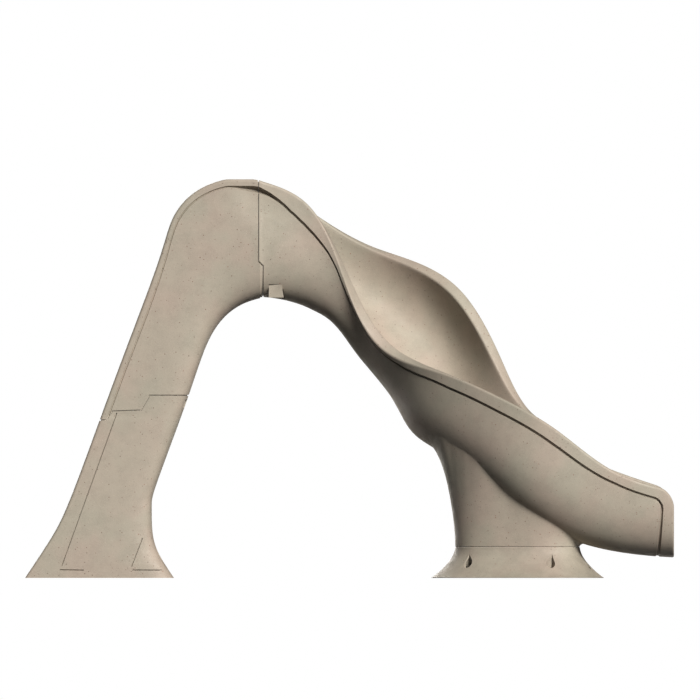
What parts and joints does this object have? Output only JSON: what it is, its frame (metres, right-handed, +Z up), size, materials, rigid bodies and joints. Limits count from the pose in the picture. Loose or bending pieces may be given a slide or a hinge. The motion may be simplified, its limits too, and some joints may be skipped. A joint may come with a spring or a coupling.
{
  "type": "pool slide",
  "caption": "Moulded pool slide: enclosed ladder with treads, arched crown, curved open flume, hollow support leg on a flared bolted base.",
  "frame": {"origin": "on the ground, under the middle of the slide's box", "axes": "+X from the ladder to the flume's exit, +Z up; the flume turns towards -Y on its way down"},
  "size_m": [3.676, 1.2316, 2.258],
  "materials": {
    "shell": "textured sandstone colour with fine dark specks",
    "base": "textured sandstone colour with fine dark specks",
    "steel": "stainless, brushed",
    "brass": "machined, slightly dull",
    "hose": "matt black",
    "grey_plastic": "fine grain",
    "blue_plastic": "dipped vinyl"
  },
  "bodies": {
    "root": {"crown_bolt_1": "steel", "crown_bolt_2": "steel", "crown_bolt_3": "steel", "crown_bolt_4": "steel", "crown_insert_1": "brass", "crown_insert_2": "brass", "crown_insert_3": "brass", "crown_insert_4": "brass", "feed_hose": "hose", "fitting_locknut": "brass", "flume": "shell", "ladder_anchor_1": "steel", "ladder_anchor_2": "steel", "ladder_anchor_3": "steel", "ladder_anchor_4": "steel", "ladder_bolt_1": "steel", "ladder_bolt_2": "steel", "ladder_bolt_3": "steel", "ladder_bolt_4": "steel", "ladder_insert_1": "brass", "ladder_insert_2": "brass", "ladder_insert_3": "brass", "ladder_insert_4": "brass", "ladder_lower": "shell", "ladder_upper": "shell", "ladder_washer_1": "steel", "ladder_washer_2": "steel", "ladder_washer_3": "steel", "ladder_washer_4": "steel", "nozzle_elbow": "grey_plastic", "nozzle_locknut": "grey_plastic", "pedestal_anchor_1": "steel", "pedestal_anchor_2": "steel", "pedestal_anchor_3": "steel", "pedestal_anchor_4": "steel", "pedestal_anchor_5": "steel", "pedestal_anchor_6": "steel", "pedestal_base": "base", "pedestal_bolt_1": "steel", "pedestal_bolt_2": "steel", "pedestal_bolt_3": "steel", "pedestal_bolt_4": "steel", "pedestal_insert_1": "brass", "pedestal_insert_2": "brass", "pedestal_insert_3": "brass", "pedestal_insert_4": "brass", "pedestal_washer_1": "steel", "pedestal_washer_2": "steel", "pedestal_washer_3": "steel", "pedestal_washer_4": "steel", "pedestal_washer_5": "steel", "pedestal_washer_6": "steel", "spray_nozzle": "grey_plastic", "valve_body": "brass", "wall_fitting": "brass"},
    "handle": {"valve_ball": "grey_plastic", "valve_handle": "blue_plastic", "handle_nut": "grey_plastic"}
  },
  "joints": [
    {"name": "valve_turn", "type": "hinge", "parent": "root", "child": "handle", "pos_m": [-1.35, 0.5937, 0.32], "axis": [0, 0, 1], "range_deg": [0, 90]}
  ]
}
